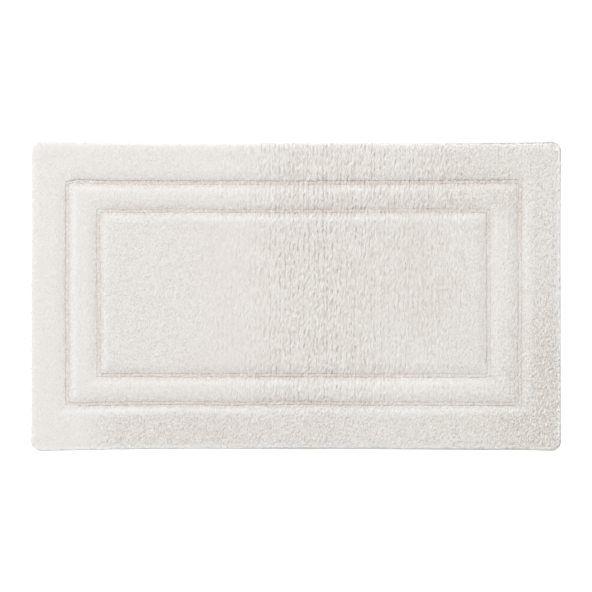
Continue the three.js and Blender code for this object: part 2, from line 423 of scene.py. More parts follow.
def close_underside(shell, rim, hole):
    """One flat face under a field, or four that meet at the corners of its hole."""
    if hole is None:
        shell.faces.append(np.concatenate(rim)[::-1].tolist())
        return
    for k in range(4):
        after = (k + 1) % 4
        outer = np.append(rim[k], rim[after][0])
        inner = np.append(hole[k], hole[after][0])
        shell.faces.append(np.concatenate([outer[::-1], inner]).tolist())


def straight_wall(outline, height, t):
    """A wall that stands straight below the edge, unshaded."""
    return np.zeros(len(outline)), 0.0


def field(middle, half, radius, steps, surface, root, hole=None, rim=(1, straight_wall), warp=None):
    """A closed slab whose upper side is a fine grid. surface gives the height and the shade's depth
    at grid points; hole is (middle, half); warp moves the grid's points in the plane first."""
    edges = np.array([middle - half, middle + half])
    if hole is not None:
        edges = np.array([middle - half, hole[0] - hole[1], hole[0] + hole[1], middle + half])
    xs, ys = (field_lines(edges[:, k], steps[k]) for k in (0, 1))
    grid_x, grid_y = np.meshgrid(xs, ys)
    flat = np.stack([grid_x.ravel(), grid_y.ravel()], 1)
    height, depth = surface(flat)
    place = corner_rounding(flat - middle, half, radius) + middle
    if warp is not None:
        place = warp(place)
    shell = Shell()
    numbers = shell.add(np.column_stack([place, height]), depth).reshape(len(ys), len(xs))
    cells = np.stack([numbers[:-1, :-1], numbers[:-1, 1:], numbers[1:, 1:], numbers[1:, :-1]], -1)
    keep = np.ones(cells.shape[:2], bool)
    hole_roots = None
    if hole is not None:
        left, right = (int(np.argmin(np.abs(xs - edge))) for edge in edges[1:3, 0])
        front, back = (int(np.argmin(np.abs(ys - edge))) for edge in edges[1:3, 1])
        keep[front:back, left:right] = False
        block = numbers[front:back + 1, left:right + 1]
        hole_roots = fold_wall(shell, border_sides(block), -1, root, (2, straight_wall))
    shell.faces += cells[keep].tolist()
    close_underside(shell, fold_wall(shell, border_sides(numbers), 1, root, rim), hole_roots)
    return shell


# ---- Surface of the pile ----

SOFT_MITRE = 3  # the power that blends the slopes of two sides at a corner


def slope_drop(distance, slope):
    """How far the pile's surface lies below its flat middle, this far in from a wall."""
    width, depth, power = slope
    return depth * np.clip(1 - distance / width, 0, 1) ** power


def sides_away_from_key(flat):
    """For each point, whether it is on the mat's right half and whether it is on its front half: the
    halves that face away from the key light.
    """
    return flat * (1, -1) > 0


def pile_surface(middle, half, tip, rim_slope, hole=None, hole_slope=None):
    """The surface of a field of pile: tufts on a flat top that slopes down beside each wall."""

    def surface(flat):
        """The height of the surface at flat points, and its depth below the tips there."""
        inwards = half - np.abs(flat - middle)
        to_wall = inwards.min(1)
        if hole is not None:
            to_wall = np.minimum(to_wall, (np.abs(flat - hole[0]) - hole[1]).max(1))
        depth = relief(flat[:, 0], flat[:, 1])
        lift = CORNER_LIFT * near_corners(flat, CORNER_LIFT_REACH)
        if rim_slope is LOW_SLOPE:
            return tip + LOW_NAP_RISE + lift - slope_drop(to_wall, rim_slope) - depth, depth
        drops = slope_drop(inwards, rim_slope)
        if rim_slope is EDGE_SLOPE:
            unbrushed = sides_away_from_key(flat)
            drops = drops * np.where(unbrushed, FLATTER_SIDES, 1)
            drops += slope_drop(inwards, EDGE_ROUNDING) * np.where(unbrushed, FLATTER_ROUNDING, 1)
        drop = (drops**SOFT_MITRE).sum(1) ** (1 / SOFT_MITRE)
        if hole is not None:
            beyond = np.maximum(np.abs(flat - hole[0]) - hole[1], 0)
            drop = np.maximum(drop, slope_drop(np.linalg.norm(beyond, axis=1), hole_slope))
        return tip - drop * (1 - lift / GROOVE_DROP) - depth, depth

    return surface


# ---- Painted shade of the pile: 0 as pale as the tips, 1 as dark as the gap shade, and below 0 painted light, paler still ----


def patch(value, middle, reach):
    """1 at the middle, fading softly to 0 about one reach away."""
    return np.exp(-(((value - middle) / reach) ** 2))


PATCH_STRAY, PATCH_STRAY_LENGTH = 40 * MM, 0.06
# Patches of painted shade and painted light are (how much, the middle, the reach) along X or Y, and
# changes as above.
RIGHT_DARK, RIGHT_DARK_FRONT = (0.16, 0.21, 0.05), (-0.12, -0.02)
MIDDLE_DARK = (0.08, 0.12, 0.05)
RIGHT_PALE, FRONT_PALE, FRONT_PALE_START = (0.16, 0.335, 0.025), (0.14, -0.15, 0.02), (-0.06, 0.0)
INSIDE_END = (0.11, 0.13)  # where the patches inside the pattern end, to the front and the back
BACK_RIGHT_PALE, BACK_RIGHT_CHANGE, BACK_RIGHT_START = 0.08, (0.1, 0.2), (0.14, 0.19)
FRONT_BORDER = (0.17, 0.20)
FRONT_BORDER_PALE, FRONT_BORDER_START = 0.10, (-0.15, 0.0)
RIGHT_BORDER_PALE, RIGHT_BORDER = 0.13, (0.35, 0.38)
LEFT_WARM_SHADE, FRONT_WARM_SHADE = (0.17, -0.1, 0.06), (0.10, -0.13, 0.09)


def painted_patches(x, y):
    """Broad patches of painted shade and painted light, some warmer in tone: how much darker, and how
    much warmer.
    """
    stray = PATCH_STRAY * (noise(x / PATCH_STRAY_LENGTH, y / PATCH_STRAY_LENGTH, 45) - 0.5)
    inside = 1 - ramp(np.abs(y), *INSIDE_END)
    front_border = ramp(-y, *FRONT_BORDER)

    def spread(value, amount, middle, reach):
        """A patch of some amount."""
        return amount * patch(value, middle, reach)

    dark = spread(x + stray, *RIGHT_DARK) * ramp(y, *RIGHT_DARK_FRONT)
    dark = dark + spread(x + stray, *MIDDLE_DARK) * inside
    dark -= spread(x, *RIGHT_PALE) * inside
    dark -= spread(y, *FRONT_PALE) * ramp(x, *FRONT_PALE_START)
    dark -= BACK_RIGHT_PALE * ramp(x, *BACK_RIGHT_CHANGE) * ramp(y, *BACK_RIGHT_START)
    dark -= FRONT_BORDER_PALE * front_border * ramp(x, *FRONT_BORDER_START)
    dark -= RIGHT_BORDER_PALE * ramp(x, *RIGHT_BORDER)
    warm_patch_shade = spread(x + stray, *LEFT_WARM_SHADE) * inside
    warm_patch_shade += spread(x + stray, *FRONT_WARM_SHADE) * front_border
    return dark, warm_patch_shade


HIGHLIGHT_PLACE = (10.5 * MM, 4.5 * MM)  # where the painted highlight lies: how far from a groove's middle, and how broad
RIGHT_HIGHLIGHT_SHARE = 0.3  # how strong the painted highlight is beside a groove's right side, where it hardly shows


def painted_shoulder_highlight(x, y):
    """1 where a highlight is painted beside a groove, on the slope that faces the key light: along the
    groove's front or right side, a little way off."""
    flat = np.stack([x, y], -1) - PATTERN_MIDDLE
    total = 0.0
    for half in (INNER_LOW_HALF, OUTER_LOW_HALF):
        beyond = np.abs(flat) - (half - LOW_PILE_WIDTH / 2)
        across = beyond[:, 0] > beyond[:, 1]
        side = np.where(across, np.sign(flat[:, 0]), -np.sign(flat[:, 1]))
        weight = np.where(across & (flat[:, 0] > 0), RIGHT_HIGHLIGHT_SHARE, 1)
        total = total + weight * patch(beyond.max(1) * side, *HIGHLIGHT_PLACE)
    return total


GROOVE_FLOOR = LOW_PILE_TIP + LOW_NAP_RISE
GROOVE_LEVELS = (GROOVE_FLOOR - 1 * MM, GROOVE_FLOOR + 3 * MM)  # where the painted groove shade is strongest, and where there is none
GROOVE_MARGIN = 5 * MM
LEFT_GROOVE, LEFT_GROOVE_CHANGE = 0.6, (-0.35, -0.26)  # the share of the painted groove shade at the left
RIGHT_GROOVE_LOSS, RIGHT_GROOVE_CHANGE = 0.62, (0.04, 0.26)
BACK_GROOVE_SHARE, BACK_GROOVE_CHANGE = 0.6, (0.06, 0.13)  # how little of that loss the back has


def down_in_groove(x, y, level):
    """How far down in a groove the pile at this level stands, from 0 to 1, as a share of the groove's
    warm painted shade: less at the left and at the right, where the grooves are paler."""
    in_pattern = np.abs(np.stack([x, y], 1) - PATTERN_MIDDLE) < OUTER_LOW_HALF + GROOVE_MARGIN
    down = in_pattern.all(1) * (1 - ramp(level, *GROOVE_LEVELS))
    down = down * (LEFT_GROOVE + (1 - LEFT_GROOVE) * ramp(x, *LEFT_GROOVE_CHANGE))
    loss = RIGHT_GROOVE_LOSS * ramp(x, *RIGHT_GROOVE_CHANGE)
    return down * (1 - loss * (1 - BACK_GROOVE_SHARE * ramp(y, *BACK_GROOVE_CHANGE)))


LIT_SIDES_RIM_LIGHT = 0.1  # how much of the painted rim light the left and the back, which face the key light, have


def rim_light_share(flat, band):
    """Where light is painted at the rim: 1 at the mat's front and right edges, fading to 0 across a
    band inside them.
    """
    sides = np.where(sides_away_from_key(flat), 1, LIT_SIDES_RIM_LIGHT)
    return (sides * (1 - ramp(MAT_HALF - np.abs(flat), *band))).max(1)


DEEPEST = 3.5 * MM  # the depth between tufts whose painted shade is as dark as the gap shade colour
SPECKLE_SHADE = 0.95  # how far single yarn ends differ in shade where the pile is tousled
LIE_SPREAD, LIE_IN_ROWS = 1.8, 0.9  # of the yarn ends, and how much of it is gone in rows
GROOVE_SPECKLE = 0.7  # how tousled the pile down in a groove counts as
PALE_SHARE = 0.12  # the share of the pile's depth that stays as pale as the tips
RIM_LIGHT, RIM_LIGHT_BAND = 0.5, (2 * MM, 14 * MM)  # painted light at the edge: this much of the shade is taken away, across this band
RIM_HIGHLIGHT, RIM_HIGHLIGHT_BAND = 0.5, (3 * MM, 9 * MM)  # painted highlight: how much paler than the tips the edge is
RIM_HIGHLIGHT_LEVELS = (PILE_TIP - 7 * MM, PILE_TIP - 4 * MM)  # the mat's side, below them, has none
# painted highlight on a groove's shoulder
SHOULDER_HIGHLIGHT = 0.2
MOTTLE_SIZE = 1.9 * MM
# warm painted shade down in a groove: its strength, and how far it varies by yarn end and by mottle
WARM_SHADE, WARM_SHADE_BY_LIE, WARM_SHADE_BY_MOTTLE = 0.75, 0.8, 2.0


def shade(shell):
    """How dark each point of a pile is, and how far its colour turns to the warm groove shade's colour.
    The first is painted shade by its depth between the tufts, a tone that differs by how its yarn end
    happens to lie, painted light at the front and right rims and on the groove shoulders, and broad
    patches of painted shade and painted light; the second is warm painted shade down in the grooves."""
    x, y, z = shell.points.T
    flat, level = shell.points[:, :2], z + shell.depths
    rows = streaking(x, y)
    lie = (yarn_ends(x, y, rows, 39) - 0.5) * (LIE_SPREAD - LIE_IN_ROWS * rows)
    down = down_in_groove(x, y, level)
    nap = np.maximum(disturbance(x, y), GROOVE_SPECKLE * down)
    patch_dark, patch_warm_shade = painted_patches(x, y)
    dark = shell.depths / DEEPEST + nap * (SPECKLE_SHADE * lie - PALE_SHARE)
    dark -= RIM_LIGHT * rim_light_share(flat, RIM_LIGHT_BAND)
    dark += patch_dark
    painted_light = RIM_HIGHLIGHT * rim_light_share(flat, RIM_HIGHLIGHT_BAND) * ramp(level, *RIM_HIGHLIGHT_LEVELS)
    painted_light += SHOULDER_HIGHLIGHT * painted_shoulder_highlight(x, y)
    mottle = noise(x / MOTTLE_SIZE, y / MOTTLE_SIZE, 43) - 0.5
    warm_shade = down * (WARM_SHADE + WARM_SHADE_BY_LIE * lie + WARM_SHADE_BY_MOTTLE * mottle) + patch_warm_shade
    return np.clip(dark, 0, 1) - painted_light, np.clip(warm_shade, 0, 1)


# ---- The fields of pile ----

RIM_REACH = 30 * MM  # how far in the border's tufts lean with its rim
LEFT_OVERHANG = 3.4 * MM
BACK_OVERHANG, BACK_RETREAT, BACK_RETREAT_CHANGE = 0.8, 2.6, (0.0, 0.32)  # in millimetres
FRONT_RETREAT, FRONT_RETREAT_CHANGE = 1.2, (-0.12, 0.0)  # in millimetres
CORNER_RETREAT_LOSS, CORNER_RETREAT_CHANGE = 0.7, (0.36, 0.42)


def uneven_rim(place):
    """The border's tufts overhang the hem at the left, and show more of it at the front and at the
    back right."""
    x, y = place.T
    left = ramp(-x, EDGE_HALF[0] - RIM_REACH, EDGE_HALF[0])
    back = ramp(y, EDGE_HALF[1] - RIM_REACH, EDGE_HALF[1])
    front = ramp(-y, EDGE_HALF[1] - RIM_REACH, EDGE_HALF[1])
    at_corner = 1 - CORNER_RETREAT_LOSS * ramp(x, *CORNER_RETREAT_CHANGE)
    moved = place.copy()
    moved[:, 0] -= LEFT_OVERHANG * left
    moved[:, 1] += back * MM * (BACK_OVERHANG - BACK_RETREAT * ramp(x, *BACK_RETREAT_CHANGE))
    moved[:, 1] += front * MM * FRONT_RETREAT * ramp(x, *FRONT_RETREAT_CHANGE) * at_corner
    return moved


WALL_ROWS = 9  # of faces, down the mat's outer side
WALL_ROOT_INSET = 4.2 * MM  # how far in from the mat's edge the outermost tufts are rooted
WALL_CURVE = 2.2  # above 1 keeps the wall upright near the tips and turns it in towards the roots
LOCK_WIDTH, LOCK_HEIGHT, LOCK_LEAN, LOCK_DEPTH = 2.6, 5 * MM, 0.3, 2.0  # width and depth in mm
WALL_FIBRE, WALL_FIBRE_DEPTH = 0.2, 0.7  # in millimetres
WALL_BULGE = 0.6  # below 1 gives the locks their full depth over most of the wall


def tufted_wall(outline, height, t):
    """The mat's outer side: locks of yarn that stand out and lean, with shade between them."""
    overhang = (np.abs(outline[:, :2]) - (MAT_HALF - WALL_ROOT_INSET)).max(1)
    lean = LOCK_LEAN * (height - PILE_ROOT)
    spot = (outline[:, 0] + outline[:, 1] + lean) / MM
    lock = noise(spot / LOCK_WIDTH, height / LOCK_HEIGHT, 41)
    fibre = hashed(np.round(spot / WALL_FIBRE), np.round(height / (WALL_FIBRE * MM)), 42)
    depth = MM * (LOCK_DEPTH * lock + WALL_FIBRE_DEPTH * fibre) * math.sin(math.pi * t) ** WALL_BULGE
    return overhang * t**WALL_CURVE + depth, depth


PILE_STEPS = (1.03 * MM, 1.65 * MM)  # the mesh is finer across the rows of tufts than along them
PILE_CORNER = 1 * MM


def pile_field(name, node, material, middle, half, tip, rim_slope, hole=None, hole_slope=None,
               radius=PILE_CORNER, **others):
    """A field of pile as a finished piece. others are field's own settings."""
    surface = pile_surface(middle, half, tip, rim_slope, hole, hole_slope)
    shell = field(middle, half, radius, PILE_STEPS, surface, PILE_ROOT, hole, **others)
    shell.paints["darkness"], shell.paints["warm_shade"] = shade(shell)
    return stand_for(shell.make(name, material, RAGGED), node)


# ---- Materials ----


class Finish:
    """A node material being built. Its texture space is the object's, in metres."""

    # A colour mix has number and vector sockets of the same names, so its colours go by place.
    MIX_A, MIX_B, MIX_RESULT = 6, 7, 2

    def __init__(self, name, colour, roughness, specular=0.2):
        self.material = bpy.data.materials.new(name)
        self.material.use_nodes = True
        self.nodes, self.links = self.material.node_tree.nodes, self.material.node_tree.links
        self.shader = self.nodes["Principled BSDF"]
        values = {"Base Color": (*colour, 1), "Roughness": roughness}
        self.set(self.shader, values | {"Specular IOR Level": specular})
        self.place = self.nodes.new("ShaderNodeTexCoord").outputs["Object"]
        self.normal = None

    def set(self, node, values):
        """Sets a node's sockets by name."""
        for name, value in values.items():
            node.inputs[name].default_value = value

    def texture(self, kind, output, values, settings=None):
        """A texture node's output, with its sockets' values and its other settings."""
        node = self.nodes.new(kind)
        for name, value in (settings or {}).items():
            setattr(node, name, value)
        self.set(node, values)
        self.links.new(self.place, node.inputs["Vector"])
        return node.outputs[output]

    def painted(self, paint):
        """What the mesh holds under this name at each point."""
        node = self.nodes.new("ShaderNodeAttribute")
        node.attribute_name = paint
        return node.outputs["Fac"]

    def stretch(self, scale):
        """Stretches the textures made after this by the inverse of scale."""
        mapping = self.nodes.new("ShaderNodeMapping")
        self.set(mapping, {"Scale": scale})
        self.links.new(self.place, mapping.inputs["Vector"])
        self.place = mapping.outputs["Vector"]

    def speckle(self, scale, detail=3.0):
        """Fine noise, its scale in lumps per metre."""
        return self.texture("ShaderNodeTexNoise", "Fac", {"Scale": scale, "Detail": detail})

    def ribs(self, direction, pitch, waver):
        """Parallel ribs, such as the yarns of a weave. Blender's wave repeats every pi / 10 / scale."""
        values = {"Scale": math.pi / 10 / pitch, "Distortion": waver, "Detail": 1.0}
        values["Detail Scale"] = 0.5
        return self.texture("ShaderNodeTexWave", "Fac", values, {"bands_direction": direction})

    def raise_by(self, height, distance, strength=1.0):
        """Adds a bump over those already there."""
        bump = self.nodes.new("ShaderNodeBump")
        self.set(bump, {"Strength": strength, "Distance": distance})
        self.links.new(height, bump.inputs["Height"])
        if self.normal is not None:
            self.links.new(self.normal, bump.inputs["Normal"])
        self.normal = bump.outputs["Normal"]
        self.links.new(self.normal, self.shader.inputs["Normal"])
        return self

    def blend(self, factor, a, b):
        """From a at factor 0 to b at 1, and beyond a below 0. Each is a colour or an output."""
        mix = self.nodes.new("ShaderNodeMix")
        mix.data_type = "RGBA"
        mix.clamp_factor = False
        self.links.new(factor, mix.inputs["Factor"])
        for place, side in ((self.MIX_A, a), (self.MIX_B, b)):
            if isinstance(side, tuple):
                mix.inputs[place].default_value = (*side, 1)
            else:
                self.links.new(side, mix.inputs[place])
        return mix.outputs[self.MIX_RESULT]

    def colour_by(self, factor, a, b):
        """Blends the shader's colour from a to b."""
        self.links.new(self.blend(factor, a, b), self.shader.inputs["Base Color"])
        return self


YARN_ENDS = 850  # lumps per metre
FIBRES = 1500


def cotton_pile(name, tip, shaded, gap_shade, root):
    """Cut cotton pile: pale at the tips, with painted shade between the yarn ends and between the
    tufts, and warm painted shade down in a groove; root is that groove shade's colour.
    """
    finish = Finish(name, tip, roughness=0.95)
    finish.set(finish.shader, {"Sheen Weight": 0.15, "Sheen Roughness": 0.6})
    finish.stretch((1, 1, 0.2))
    darkness, warm_shade = finish.painted("darkness"), finish.painted("warm_shade")
    # painted shade: each yarn end's cell darkens from its middle towards its edge
    yarn = finish.texture("ShaderNodeTexVoronoi", "Distance", {"Scale": YARN_ENDS})
    pile = finish.blend(darkness, finish.blend(yarn, tip, shaded), gap_shade)
    finish.colour_by(warm_shade, pile, root)
    finish.raise_by(yarn, distance=-0.65 * MM, strength=0.9)
    return finish.raise_by(finish.speckle(FIBRES), distance=0.3 * MM, strength=0.5).material


def plain_weave(name, pale, dark, pitch):
    """Woven cloth: warp and weft ribs, with slubs."""
    finish = Finish(name, pale, roughness=0.9)
    finish.set(finish.shader, {"Sheen Weight": 0.1, "Sheen Roughness": 0.5})
    warp = finish.ribs("X", pitch, waver=0.6)
    finish.colour_by(warp, dark, pale)
    finish.raise_by(warp, distance=0.25 * MM, strength=0.7)
    finish.raise_by(finish.ribs("Y", pitch, waver=0.6), distance=0.25 * MM, strength=0.7)
    return finish.raise_by(finish.speckle(350), distance=0.2 * MM, strength=0.5).material


def latex(name):
    """Sprayed latex: slightly yellow, satin and pimpled."""
    finish = Finish(name, (0.70, 0.67, 0.58), roughness=0.62, specular=0.4)
    finish.colour_by(finish.speckle(60), (0.62, 0.58, 0.48), (0.76, 0.73, 0.65))
    finish.raise_by(finish.speckle(700, detail=2.0), distance=0.35 * MM, strength=0.6)
    pimples = finish.speckle(140, detail=2.0)
    return finish.raise_by(pimples, distance=0.5 * MM, strength=0.5).material


def sewing_thread(name):
    """Plied thread, its twist showing as slanted ribs."""
    finish = Finish(name, (0.78, 0.76, 0.71), roughness=0.55, specular=0.35)
    plies = finish.ribs("DIAGONAL", 0.5 * MM, waver=0.2)
    finish.colour_by(plies, (0.60, 0.57, 0.51), (0.82, 0.80, 0.75))
    return finish.raise_by(plies, distance=0.1 * MM, strength=0.8).material


def satin(name):
    """Glossy woven satin, fine floats running along the label."""
    finish = Finish(name, (0.84, 0.83, 0.80), roughness=0.32, specular=0.5)
    finish.set(finish.shader, {"Anisotropic": 0.5})
    finish.colour_by(finish.speckle(500), (0.78, 0.77, 0.73), (0.86, 0.85, 0.82))
    floats = finish.ribs("Y", 0.35 * MM, waver=0.3)
    return finish.raise_by(floats, distance=0.05 * MM, strength=0.5).material


# ---- Hem ----

SEAM_INSET = 14.3 * MM
STITCH = 3.6 * MM
HOLE_SHARPNESS = 6  # the higher, the smaller a needle hole's share of the stitch
SMALLEST_RADIUS = 3 * MM
MITRE_GAP, MITRE_SHARE = 0.2 * MM, (0.97, 1)  # a side stops short by this at its ends
# The hem's cross-section, from its raw edge under the mat outwards, round the fold and back: how
# far in from the mat's edge, and how high, in millimetres.
HEM_SECTION = (
    (17.9, 0.5), (17.6, 0.12), (16.6, 0.04), (15.6, 0.10), (14.9, 0.62), (14.3, 1.05), (13.7, 0.62),
    (13.0, 0.10), (11.5, 0.03), (9.0, 0.02), (6.0, 0.02), (3.4, 0.03), (1.8, 0.10), (0.8, 0.38),
    (0.22, 0.9), (0.0, 1.5), (0.15, 2.1), (0.65, 2.7), (1.4, 3.3), (2.3, 3.75), (3.1, 3.75),
    (3.6, 3.4), (3.7, 3.1), (3.4, 2.9), (2.5, 2.85), (1.8, 2.4), (1.5, 2.1), (1.5, 1.75),
    (1.75, 1.52), (3.5, 1.5), (8.0, 1.5), (13.0, 1.5), (15.5, 1.5), (17.5, 1.45), (17.9, 1.2),
)


def side_path(side, inset, stations):
    """Points along one side of the mat at some inset, from one corner's mitre to the other's.
    stations are from -1 to 1. Sides are front, right, back and left, 0 to 3."""
    long_half, deep_half = MAT_HALF if side % 2 == 0 else MAT_HALF[::-1]
    radius = max(CORNER_RADIUS - inset, SMALLEST_RADIUS)
    straight = long_half - inset - radius
    arc = CORNER_RADIUS * math.pi / 4
    turned = arc / (long_half - CORNER_RADIUS + arc)  # the share of the stations in each corner
    turn = np.clip((np.abs(stations) - (1 - turned)) / turned, 0, 1) * math.pi / 4
    along = np.clip(np.abs(stations) / (1 - turned), 0, 1) * straight + radius * np.sin(turn)
    along = (along - MITRE_GAP * ramp(np.abs(stations), *MITRE_SHARE)) * np.sign(stations)
    outwards = deep_half - inset - radius + radius * np.cos(turn)
    corner = side * math.pi / 2
    x = along * math.cos(corner) + outwards * math.sin(corner)
    y = along * math.sin(corner) - outwards * math.cos(corner)
    return np.stack([x, y], 1)


def swept(rings):
    """A closed shell through a row of rings of points, capped at both ends."""
    shell = Shell()
    loops = [shell.add(ring) for ring in rings]
    for near, far in zip(loops, loops[1:]):
        shell.join(near, far)
    shell.faces.append(loops[0][::-1].tolist())
    shell.faces.append(loops[-1].tolist())
    return shell


def stitch_phase(side, stations):
    """1 at each needle hole and 0 midway between two, along the seam."""
    half = MAT_HALF[side % 2] - SEAM_INSET
    count = round(2 * half / STITCH)
    return np.abs(np.cos(math.pi * count * (stations + 1) / 2)) ** HOLE_SHARPNESS


HEM_STEP = 1.2 * MM
RIPPLE_LENGTH = 7 * MM
LEAF_RIPPLE, LEAF_TOP = 0.12 * MM, 0.4 * MM  # the ripple lies in the leaf, below this height
PUCKER, PUCKER_WIDTH, PUCKER_TOP = 0.18 * MM, 0.8 * MM, 1.2 * MM
PUCKER_REST = 0.6  # the share of a needle hole's lift at which the cloth lies level
CROWN_SINK, CROWN_BASE, CROWN_REACH = 0.14 * MM, 2.85 * MM, 3 * MM


def hem_side(side):
    """One side of the hem, puckered by its stitches."""
    half = MAT_HALF[side % 2]
    stations = np.linspace(-1, 1, round(2 * half / HEM_STEP))
    hole = stitch_phase(side, stations)
    columns = []
    for inset, height in np.array(HEM_SECTION) * MM:
        path = side_path(side, inset, stations)
        ripple = noise(path[:, 0] / RIPPLE_LENGTH, path[:, 1] / RIPPLE_LENGTH, 51) - 0.5
        lift = LEAF_RIPPLE * (ripple + 0.5) * (height < LEAF_TOP)
        near_seam = patch(inset, SEAM_INSET, PUCKER_WIDTH) * (height < PUCKER_TOP)
        lift = lift * (1 - near_seam) + near_seam * PUCKER * (hole - PUCKER_REST)
        crown = (height > CROWN_BASE) * (inset < CROWN_REACH)
        lift = lift - CROWN_SINK * (0.5 - ripple) * crown
        columns.append(np.column_stack([path, height + lift]))
    return swept(np.stack(columns, 1))


THREAD_SIDES, THREAD_THICKNESS, THREAD_WIDTH = 8, 0.4 * MM, 0.46 * MM
THREAD_HEIGHT, THREAD_DIVE, THREAD_FLATTENING = 0.3 * MM, 0.38 * MM, 0.3
STATIONS_PER_STITCH = 8
SEAM_SHARE = 0.997  # how much of its side a run of sewing is as long as


def hem_sewing(side):
    """One run of stitches on the hem's underside: each lies flat and dives into the next hole."""
    half = MAT_HALF[side % 2] - SEAM_INSET
    count = round(2 * half / STITCH)
    stations = np.linspace(-SEAM_SHARE, SEAM_SHARE, count * STATIONS_PER_STITCH)
    hole = stitch_phase(side, stations)
    rings = []
    for turn in np.arange(THREAD_SIDES) * 2 * math.pi / THREAD_SIDES:
        inset = SEAM_INSET - THREAD_WIDTH / 2 * math.cos(turn)
        height = THREAD_HEIGHT + THREAD_THICKNESS / 2 * math.sin(turn) * (1 - THREAD_FLATTENING * hole)
        height = height + THREAD_DIVE * hole
        rings.append(np.column_stack([side_path(side, inset, stations), height]))
    return swept(np.stack(rings, 1))


# ---- Underside ----

TUFT_GAUGE = 5.2 * MM  # between the rows of back stitches that show through the latex
BACK_STITCH = 5.5 * MM
BEAD_WAIST, BEAD_ROUNDNESS = 0.45, 0.6  # how high a row is between two of its stitches
SKIN_THINNEST, SKIN_FILL = 0.02, 0.5  # in millimetres
SKIN_LUMPS = ((0.08, 30 * MM, 62), (0.08, 3 * MM, 63))  # height in millimetres, length, seed
BED_EDGE = (0.3 * MM, 2.3 * MM)  # the latex rises to the label's bed over this distance from it


def coat_surface(flat):
    """The latex seen from below: rows of back stitches under a skin, and the care label's bed."""
    x, y = flat.T
    row = x / TUFT_GAUGE
    offset = hashed(np.floor(row), np.floor(row) * 0, 61)
    across = np.abs(row - np.floor(row) - 0.5) * 2
    along = np.abs(np.sin(math.pi * (y / BACK_STITCH + offset)))
    bead = np.sqrt(np.clip(1 - across**2, 0, 1))
    bead *= BEAD_WAIST + (1 - BEAD_WAIST) * along**BEAD_ROUNDNESS
    skin = SKIN_THINNEST + SKIN_FILL * (1 - bead)
    for height, length, seed in SKIN_LUMPS:
        skin = skin + height * noise(x / length, y / length, seed)
    skin *= MM
    reach = np.abs(flat - LABEL_MIDDLE) - LABEL_HALF
    over_label = 1 - ramp(reach.max(1), *BED_EDGE)
    bed = LABEL_TOP + CAD_GAP
    return -(skin + (bed - skin) * over_label), 0.0


SLUB_LENGTH, SLUB_WIDTH, SLUB_HEIGHT = 14 * MM, 3 * MM, 0.06 * MM


def cloth_surface(flat):
    """The backing cloth's upper side, with thick and thin yarns both ways."""
    x, y = flat.T
    slub = noise(x / SLUB_LENGTH, y / SLUB_WIDTH, 64) + noise(x / SLUB_WIDTH, y / SLUB_LENGTH, 65)
    return CLOTH_TOP - SLUB_HEIGHT * slub, 0.0


LABEL_RIPPLE, LABEL_RIPPLE_LENGTHS = 0.12 * MM, (16 * MM, 22 * MM)
LABEL_RIB, LABEL_RIB_PITCH = 0.015 * MM, 1.4 * MM


def label_surface(flat):
    """The label's lower side: nearly flat, with a soft ripple and fine ribs."""
    x, y = flat.T
    ripple = noise(x / LABEL_RIPPLE_LENGTHS[0], y / LABEL_RIPPLE_LENGTHS[1], 66)
    ribs = LABEL_RIB * np.sin(2 * math.pi * y / LABEL_RIB_PITCH)
    return -(LABEL_BASE + LABEL_RIPPLE * ripple + ribs), 0.0


BULGE_ROWS = 4  # of faces, down a cut edge


def rounded_rim(depth):
    """A wall that bulges slightly, for cloth and latex."""

    def shape(outline, height, t):
        """How far in the wall stands a share t of the way down, unshaded."""
        return depth * (1 - math.sin(math.pi * t)) * np.ones(len(outline)), 0.0

    return BULGE_ROWS, shape


# ---- Pieces ----


def stand_for(piece, node):
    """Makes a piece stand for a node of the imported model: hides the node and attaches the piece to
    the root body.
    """
    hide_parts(node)
    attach(piece, "root")
    return piece


# The pile's own colour at the tips; the rest are painted shade: between yarn ends, between tufts, and
# warm down in the grooves.
TIP, SHADED = (0.814, 0.792, 0.771), (0.705, 0.682, 0.655)
GAP_SHADE_COLOUR, GROOVE_SHADE_COLOUR = (0.56, 0.50, 0.45), (0.622, 0.547, 0.50)


def make_pile():
    """The five fields of pile, each widened to stand close beside the next."""
    tall, low = (cotton_pile(name, TIP, SHADED, GAP_SHADE_COLOUR, GROOVE_SHADE_COLOUR) for name in ("tall_pile", "low_pile"))
    widen = CAD_GAP - NO_GAP
    return [
        pile_field("centre_tufts", "centre_pile", tall, PATTERN_MIDDLE, CENTRE_HALF + widen,
                   PILE_TIP, GROOVE_SLOPE),
        pile_field("middle_band_tufts", "middle_band_pile", tall, PATTERN_MIDDLE,
                   BAND_HALF + widen, PILE_TIP, GROOVE_SLOPE,
                   (PATTERN_MIDDLE, INNER_LOW_HALF + NO_GAP), GROOVE_SLOPE),
        pile_field("border_tufts", "border_pile", tall, MAT_MIDDLE, EDGE_HALF, PILE_TIP,
                   EDGE_SLOPE, (PATTERN_MIDDLE, OUTER_LOW_HALF + NO_GAP), GROOVE_SLOPE,
                   radius=CORNER_RADIUS, rim=(WALL_ROWS, tufted_wall), warp=uneven_rim),
    ] + [
        pile_field(which + "_groove_tufts", which + "_groove_pile", low, PATTERN_MIDDLE, half,
                   LOW_PILE_TIP, LOW_SLOPE, (PATTERN_MIDDLE, half - LOW_PILE_WIDTH), LOW_SLOPE)
        for which, half in (("inner", INNER_LOW_HALF), ("outer", OUTER_LOW_HALF))
    ]


